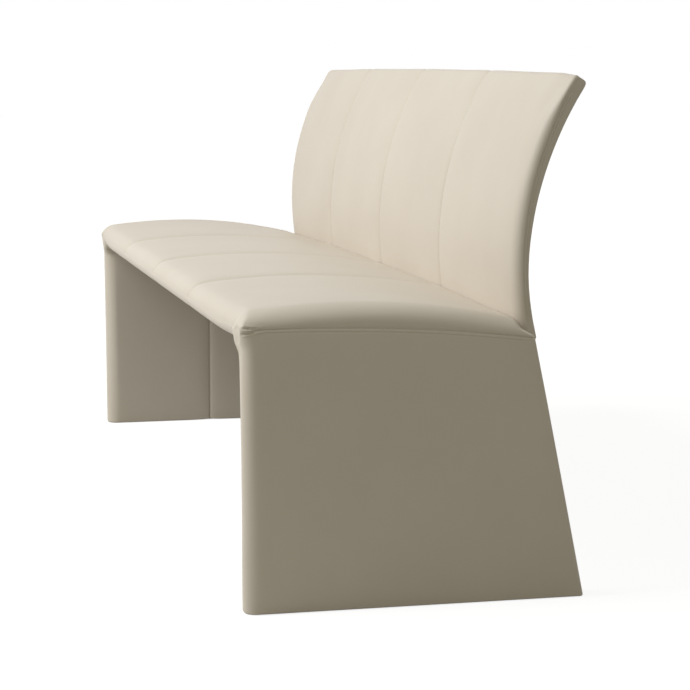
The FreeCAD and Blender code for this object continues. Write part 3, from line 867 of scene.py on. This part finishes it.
def pillow_lines():
    """Places of the grid lines across and up the back, and how far each one is round its edge."""
    ring = np.concatenate([np.linspace(0.0, back_edge_coarse, back_edge_points)[1:], back_edge_fine])
    flat = back_half - back_corner_radius
    seams = [-flat, -seam_spacing, 0.0, seam_spacing, flat]
    places = [np.array([-flat])]
    for start, end in zip(seams, seams[1:]):
        first = edge_step if start == -flat else seam_step
        last = edge_step if end == flat else seam_step
        places.append(graded(start, end, panel_step, first, last)[1:])
    across = np.concatenate(places)
    seam_columns = [len(ring) + int(np.argmin(np.abs(across - seam))) for seam in seams[1:-1]]
    bottom = arc_share(back_bottom_height) + back_corner_radius
    top = arc_share(back_top_height) - back_corner_radius
    up = graded(bottom, top, panel_step, edge_step, edge_step)
    round_x = np.concatenate([-ring[::-1], 0.0 * across, ring])
    round_v = np.concatenate([-ring[::-1], 0.0 * up, ring])
    pad = np.ones(len(ring))
    x = np.concatenate([-flat * pad, across, flat * pad])
    v = np.concatenate([bottom * pad, up, top * pad])
    return x, v, round_x, round_v, seam_columns


def pillow(end_roll, top_roll, bottom_roll, rear):
    """Grid of the front or rear skin of the back, from the bottom seam to the top one."""
    x, v, round_x, round_v, seam_columns = pillow_lines()
    ex, ev = np.meshgrid(np.abs(round_x), np.abs(round_v))
    ring = np.maximum(ex, ev)
    safe = np.maximum(ring, 1e-9)
    angle = np.where(ex >= ev, ev / safe, 2.0 - ex / safe) * np.pi / 4.0
    upper = np.where(round_v[:, None] >= 0.0, top_roll, bottom_roll)
    height = v[:, None] + 0.0 * ring
    tight = smooth((height - arc_share(back_top_height) + back_corner_radius) / back_tight_reach + 1.0)
    at_end = mix(end_roll, min(back_tight_roll, end_roll), tight)
    roll = mix(at_end, upper, np.sin(angle) ** 2)
    thick = back_thickness + back_top_extra * smooth((height - back_thicker_from) / back_thicker_over)
    depth_end = thick - back_seam_depth if rear else back_seam_depth + 0.0 * thick
    # Out over the flat, round the roll and back along the edge to the seam
    flat = back_corner_radius - roll
    bend = roll * np.pi / 2.0
    travel = ring * (flat + bend + depth_end - roll)
    turn = np.clip((travel - flat) / roll, 0.0, np.pi / 2.0)
    out = np.minimum(travel, flat) + roll * np.sin(turn)
    inward = roll * (1.0 - np.cos(turn)) + np.maximum(travel - flat - bend, 0.0)
    # Squarer corners than a circle's, a bowed top and a front that is drawn in towards the ends
    sharp = np.abs(np.cos(angle)) ** back_corner_power + np.abs(np.sin(angle)) ** back_corner_power
    out = out * sharp ** (-1.0 / back_corner_power)
    across = x[None, :] + out * np.cos(angle) * np.sign(round_x)[None, :]
    height = height + out * np.sin(angle) * np.sign(round_v)[:, None]
    bowed = back_top_bow * (1.0 - (across / back_half) ** 2)
    height = height + bowed * np.clip(height / arc_share(back_top_height), 0.0, 1.0) ** 2
    taper = mix(back_end_taper, back_top_taper, tight)
    taper = taper * smooth(1.0 - (back_half - np.abs(across)) / back_taper_width)
    depth = thick - inward if rear else inward + taper * (1.0 - inward / back_seam_depth)
    # Bent over the arc of the front
    bow = height / back_front_radius
    y = lumbar_front + back_front_radius - (back_front_radius - depth) * np.cos(bow)
    z = lumbar_height + (back_front_radius - depth) * np.sin(bow)
    return np.stack([across, y, z], axis=2), seam_columns


def back_covers():
    """The covers of the back, front and rear, and the stitches beside their end seams."""
    pieces = []
    threads = []
    sides = (("back_front_cover", False, (back_end_roll, back_top_roll, back_bottom_roll)),
             ("back_rear_cover", True, (back_rear_end_roll, back_rear_top_roll, back_bottom_roll)))
    for name, rear, rolls in sides:
        grid, seam_columns = pillow(*rolls, rear)
        normals = normals_of(grid, False)
        middle = (grid.shape[0] // 2, grid.shape[1] // 2)
        outward = 1.0 if rear else -1.0
        if normals[middle][1] * outward < 0.0:
            grid = grid[:, ::-1]
            seam_columns = [grid.shape[1] - 1 - c for c in seam_columns][::-1]
            normals = normals_of(grid, False)
        rows, columns = grid.shape[:2]
        held = np.zeros((rows, columns), bool)
        held[:, seam_columns] = True
        held[[0, -1]] = True
        held[:, [0, -1]] = True
        puff = np.zeros((rows, columns))
        puff = blown(name + "_cloth", grid, normals, held, False, [0], seam_columns, back_puff)
        fall = sum(seam_fall(distance_along(grid, 1, c)) for c in seam_columns)
        to_end = np.minimum(*[distance_along(grid, 1, line) for line in (0, columns - 1)])
        to_edge = np.minimum(*[distance_along(grid, 0, line) for line in (0, rows - 1)])
        fall = fall + border_share * seam_fall(np.minimum(to_end, to_edge))
        fall = fall + end_border_share * seam_fall(to_end) * smooth(to_edge / end_border_fade)
        finished = grid + normals * (puff - fall)[:, :, None]
        shaded = normals_of(finished, False)
        cuts = [0] + seam_columns + [columns - 1]
        numbers = [1, 2, 3, 4]
        if finished[0, 0, 0] > finished[0, -1, 0]:
            numbers = numbers[::-1]
        for number, start, end in zip(numbers, cuts, cuts[1:]):
            part = finished[:, start:end + 1]
            piece = closed_skin(f"{name}_{number}_leather", part, shaded[:, start:end + 1], False)
            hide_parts(f"{name}_{number}")
            pieces.append(piece)
        turned, facing = finished.transpose(1, 0, 2), shaded.transpose(1, 0, 2)
        sewn = np.arange(back_sewn_margin, rows - back_sewn_margin)
        for row, step in ((0, 1), (columns - 1, -1)):
            side = "left" if turned[row, 0, 0] < 0.0 else "right"
            thread = name.replace("cover", "stitches") + "_" + side
            threads.append(stitch_row(thread, turned, facing, row, step, sewn, back_stitch_distance))
    return pieces, threads


# Materials
patch_detail = 4.0
dark_until = 0.3
light_from = 0.7
roughness_spread = 0.05
grain_strength = 0.25
finishes = {}


def node(tree, kind, inputs=(), **settings):
    """A new shader node with values for its inputs and other settings."""
    made = tree.nodes.new(kind)
    for key, value in settings.items():
        setattr(made, key, value)
    for key, value in dict(inputs).items():
        made.inputs[key].default_value = value
    return made


def coat(name, light, dark, patch, roughness, metallic=0.0, grain=400.0, grain_rise=0.0002,
         stretch=(1.0, 1.0, 1.0)):
    """A finish with two close tones in patches and a fine raised grain; both are finer for larger numbers."""
    material = bpy.data.materials.new(name)
    material.use_nodes = True
    tree = material.node_tree
    link = tree.links.new
    shader = tree.nodes["Principled BSDF"]
    shader.inputs["Metallic"].default_value = metallic
    place = node(tree, "ShaderNodeTexCoord")
    scale = node(tree, "ShaderNodeMapping", {"Scale": stretch})
    link(place.outputs["Object"], scale.inputs["Vector"])
    patches = node(tree, "ShaderNodeTexNoise", {"Scale": patch, "Detail": patch_detail})
    link(scale.outputs["Vector"], patches.inputs["Vector"])
    tones = node(tree, "ShaderNodeValToRGB")
    for stop, position, tone in zip(tones.color_ramp.elements, (dark_until, light_from), (dark, light)):
        stop.position = position
        stop.color = (*tone, 1.0)
    link(patches.outputs["Fac"], tones.inputs["Fac"])
    link(tones.outputs["Color"], shader.inputs["Base Color"])
    spread = {"To Min": roughness - roughness_spread, "To Max": roughness + roughness_spread}
    rough = node(tree, "ShaderNodeMapRange", spread)
    link(patches.outputs["Fac"], rough.inputs["Value"])
    link(rough.outputs["Result"], shader.inputs["Roughness"])
    cells = node(tree, "ShaderNodeTexVoronoi", {"Scale": grain}, feature="SMOOTH_F1")
    link(scale.outputs["Vector"], cells.inputs["Vector"])
    raised = node(tree, "ShaderNodeBump", {"Strength": grain_strength, "Distance": grain_rise})
    link(cells.outputs["Distance"], raised.inputs["Height"])
    link(raised.outputs["Normal"], shader.inputs["Normal"])
    finishes[name] = material


coat("cover_leather", (0.70, 0.640, 0.562), (0.67, 0.605, 0.525), patch=7.0, roughness=0.5, grain=750.0)
coat("thread", (0.60, 0.53, 0.43), (0.52, 0.45, 0.36), patch=90.0, roughness=0.7, grain=2500.0)
coat("dust_cloth", (0.035, 0.035, 0.037), (0.02, 0.02, 0.022), patch=60.0, roughness=0.95, grain=1200.0)
coat("foam", (0.74, 0.68, 0.5), (0.66, 0.6, 0.43), patch=30.0, roughness=0.95,
     grain=500.0, grain_rise=0.0008)
coat("felt", (0.24, 0.23, 0.22), (0.15, 0.15, 0.15), patch=80.0, roughness=0.98,
     grain=900.0, grain_rise=0.0005)
coat("webbing", (0.09, 0.085, 0.08), (0.05, 0.05, 0.05), patch=40.0, roughness=0.9,
     stretch=(1.0, 6.0, 1.0))
coat("frame_steel", (0.035, 0.035, 0.037), (0.022, 0.022, 0.024), patch=25.0, roughness=0.5, grain=1500.0)
coat("board", (0.55, 0.38, 0.21), (0.42, 0.27, 0.14), patch=12.0, roughness=0.7, stretch=(1.0, 1.0, 9.0))
coat("zinc_steel", (0.62, 0.62, 0.63), (0.5, 0.5, 0.52), patch=50.0, roughness=0.35,
     metallic=1.0, grain=900.0)
coat("glide_plastic", (0.03, 0.03, 0.03), (0.018, 0.018, 0.018), patch=60.0, roughness=0.5)


def dress(piece, slot):
    """Gives a piece one finish and no other."""
    piece.data.materials.clear()
    piece.data.materials.append(finishes[slot])


seat_and_legs, seat_threads = leather_tube()
back, back_threads = back_covers()
for piece in seat_threads + back_threads:
    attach(piece, "root")
    dress(piece, "thread")

for piece in seat_and_legs + back:
    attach(piece, "root")
    dress(piece, "cover_leather")


def dust_sheet():
    """The dust cloth, stretched under the seat: it sags a little and puckers where its edges are held."""
    low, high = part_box("dust_cover")
    places_long = np.linspace(low.x, high.x, dust_points_long)
    places_deep = np.linspace(low.y, high.y, dust_points_deep)
    across, deep = np.meshgrid(places_long, places_deep, indexing="ij")
    from_end = np.minimum(across - low.x, high.x - across)
    from_side = np.minimum(deep - low.y, high.y - deep)
    hang = smooth(from_end / dust_sag_reach) * smooth(from_side / dust_sag_reach)
    puckers = np.cos(2.0 * np.pi * across / dust_ripple_pitch) * np.exp(-from_side / dust_ripple_reach)
    puckers += np.cos(2.0 * np.pi * deep / dust_ripple_pitch) * np.exp(-from_end / dust_ripple_reach)
    height = low.z + dust_ripple * (1.0 + puckers) - dust_sag * hang
    grid = np.stack([across, deep, height], axis=2)
    normals = normals_of(grid, False)
    if normals[0, 0, 2] > 0.0:
        grid = grid[::-1]
        normals = normals_of(grid, False)
    piece = closed_skin("dust_sheet", grid, normals, False, thickness=high.z - low.z)
    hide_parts("dust_cover")
    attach(piece, "root")
    dress(piece, "dust_cloth")


dust_sheet()


def pressed_foam(name):
    """The foam of one node, pressed back by the tight leather at the front, ends and rear corners."""
    piece = make_object(name + "_pressed", [], [])
    piece.data = frame["nodes"][name].data.copy()
    places = np.empty(len(piece.data.vertices) * 3)
    piece.data.vertices.foreach_get("co", places)
    places = places.reshape(-1, 3)
    x, y, z = places.T
    y += press_front * smooth((front_plane + press_front_reach - y) / press_front_reach)
    x -= np.sign(x) * press_end * smooth((np.abs(x) - half_length + press_end_reach) / press_end_width)
    near_end = smooth((np.abs(x) - half_length + press_down_reach) / press_down_width)
    if name.startswith("back"):
        x *= 1.0 - press_back_end / back_half
        near_end *= 0.0
    z -= press_down * near_end * smooth((z - underside - press_down_height) / press_down_height)
    corner = (y > rear_corner_place) & (z > rear_corner_height) & (near_end > 0.0)
    y[corner] = rear_corner_place
    z[corner] -= press_down
    piece.data.vertices.foreach_set("co", places.ravel())
    piece.data.update()
    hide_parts(name)
    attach(piece, "root")
    dress(piece, "foam")


for name in ("seat_foam", "leg_foam_left", "leg_foam_right", "corner_foam_left", "corner_foam_right",
             "back_front_foam", "back_rear_foam"):
    pressed_foam(name)

for part in frame["record"]["subparts"]:
    cad_piece = frame["nodes"].get(part["node"])
    if cad_piece is not None:
        dress(cad_piece, part["material_slot"])

# Floor, light and camera
floor_half = 30.0
floor_shade = (0.44, 0.42, 0.37)
own_light_tint = (0.965, 0.975, 1.0)
shadow_reach = 1.3
white_reach = 4.5
# Lower own light near the bench: painted shade around it, on top of the bench's real shadow
painted_shade_own_light = 0.85
far_own_light = 0.93
room_light = 0.30
room_tint = (1.0, 0.98, 0.80)
bench_middle = (0.0, 0.0, 0.45)
camera_yaw = np.radians(12.958)
camera_pitch = np.radians(7.5685)
camera_lens = 110.39
camera_place = (4.1465, front_plane - 0.5753, 0.8625)
film_width = 36.0
scene = bpy.context.scene
scene.view_settings.view_transform = "Standard"


def seen_directly(tree):
    """One where a surface is seen by the camera or in something shiny or clear, else zero."""
    rays = node(tree, "ShaderNodeLightPath")
    total = rays.outputs["Is Camera Ray"]
    for kind in ("Is Glossy Ray", "Is Transmission Ray"):
        larger = node(tree, "ShaderNodeMath", operation="MAXIMUM")
        tree.links.new(total, larger.inputs[0])
        tree.links.new(rays.outputs[kind], larger.inputs[1])
        total = larger.outputs[0]
    return total


def pale_material(name, shade):
    """A pale floor whose own light is dimmer near the bench, a painted shade that deepens its real shadow,
    and which the camera sees as white further off.
    """
    material = bpy.data.materials.new(name)
    material.use_nodes = True
    tree = material.node_tree
    link = tree.links.new
    tree.nodes.clear()
    output = node(tree, "ShaderNodeOutputMaterial")
    matte = node(tree, "ShaderNodeBsdfDiffuse", {"Color": (*shade, 1.0)})
    glow = node(tree, "ShaderNodeEmission", {"Color": (*own_light_tint, 1.0)})
    place = node(tree, "ShaderNodeTexCoord")
    away = node(tree, "ShaderNodeVectorMath", operation="LENGTH")
    link(place.outputs["Object"], away.inputs[0])
    # The own light falls towards the bench: painted shade near it, which deepens the real shadow
    limits = {"From Min": shadow_reach, "From Max": white_reach,
              "To Min": painted_shade_own_light, "To Max": far_own_light}
    own_light = node(tree, "ShaderNodeMapRange", limits, interpolation_type="SMOOTHSTEP")
    link(away.outputs["Value"], own_light.inputs["Value"])
    level = node(tree, "ShaderNodeMath", operation="MULTIPLY")
    link(seen_directly(tree), level.inputs[0])
    link(own_light.outputs["Result"], level.inputs[1])
    link(level.outputs[0], glow.inputs["Strength"])
    both = node(tree, "ShaderNodeAddShader")
    link(matte.outputs[0], both.inputs[0])
    link(glow.outputs[0], both.inputs[1])
    link(both.outputs[0], output.inputs["Surface"])
    return material


floor_points = [(x * floor_half, y * floor_half, 0.0) for x, y in ((-1, -1), (1, -1), (1, 1), (-1, 1))]
floor = make_object("floor", floor_points, [(0, 1, 2, 3)])
floor.data.materials.append(pale_material("floor_pale", floor_shade))

world = bpy.data.worlds.new("studio")
world.use_nodes = True
scene.world = world
sky = world.node_tree
background = sky.nodes["Background"]
lit = (*[part * room_light for part in room_tint], 1.0)
white = (1.0, 1.0, 1.0, 1.0)
warm = node(sky, "ShaderNodeMix", {"A": lit, "B": white}, data_type="RGBA")
sky.links.new(seen_directly(sky), warm.inputs["Factor"])
sky.links.new(warm.outputs["Result"], background.inputs["Color"])


def softbox(name, place, size, power):
    """A square lamp that shines at the middle of the bench."""
    lamp = bpy.data.lights.new(name, "AREA")
    lamp.shape = "SQUARE"
    lamp.size = size
    lamp.energy = power
    holder = bpy.data.objects.new(name, lamp)
    holder.location = place
    holder.rotation_euler = (Vector(bench_middle) - Vector(place)).to_track_quat("-Z", "Y").to_euler()
    scene.collection.objects.link(holder)


softbox("key_light", place=(-0.1, -3.45, 3.1), size=3.0, power=143.0)
softbox("top_light", place=(0.0, -0.6, 4.2), size=3.0, power=12.0)

# The camera stands where the photograph was taken from
ahead = Vector((-np.cos(camera_yaw) * np.cos(camera_pitch),
                np.sin(camera_yaw) * np.cos(camera_pitch),
                -np.sin(camera_pitch)))
lens = bpy.data.cameras.new("camera")
lens.lens = camera_lens
lens.sensor_width = film_width
camera = bpy.data.objects.new("camera", lens)
camera.location = camera_place
camera.rotation_euler = ahead.to_track_quat("-Z", "Y").to_euler()
scene.collection.objects.link(camera)
scene.camera = camera
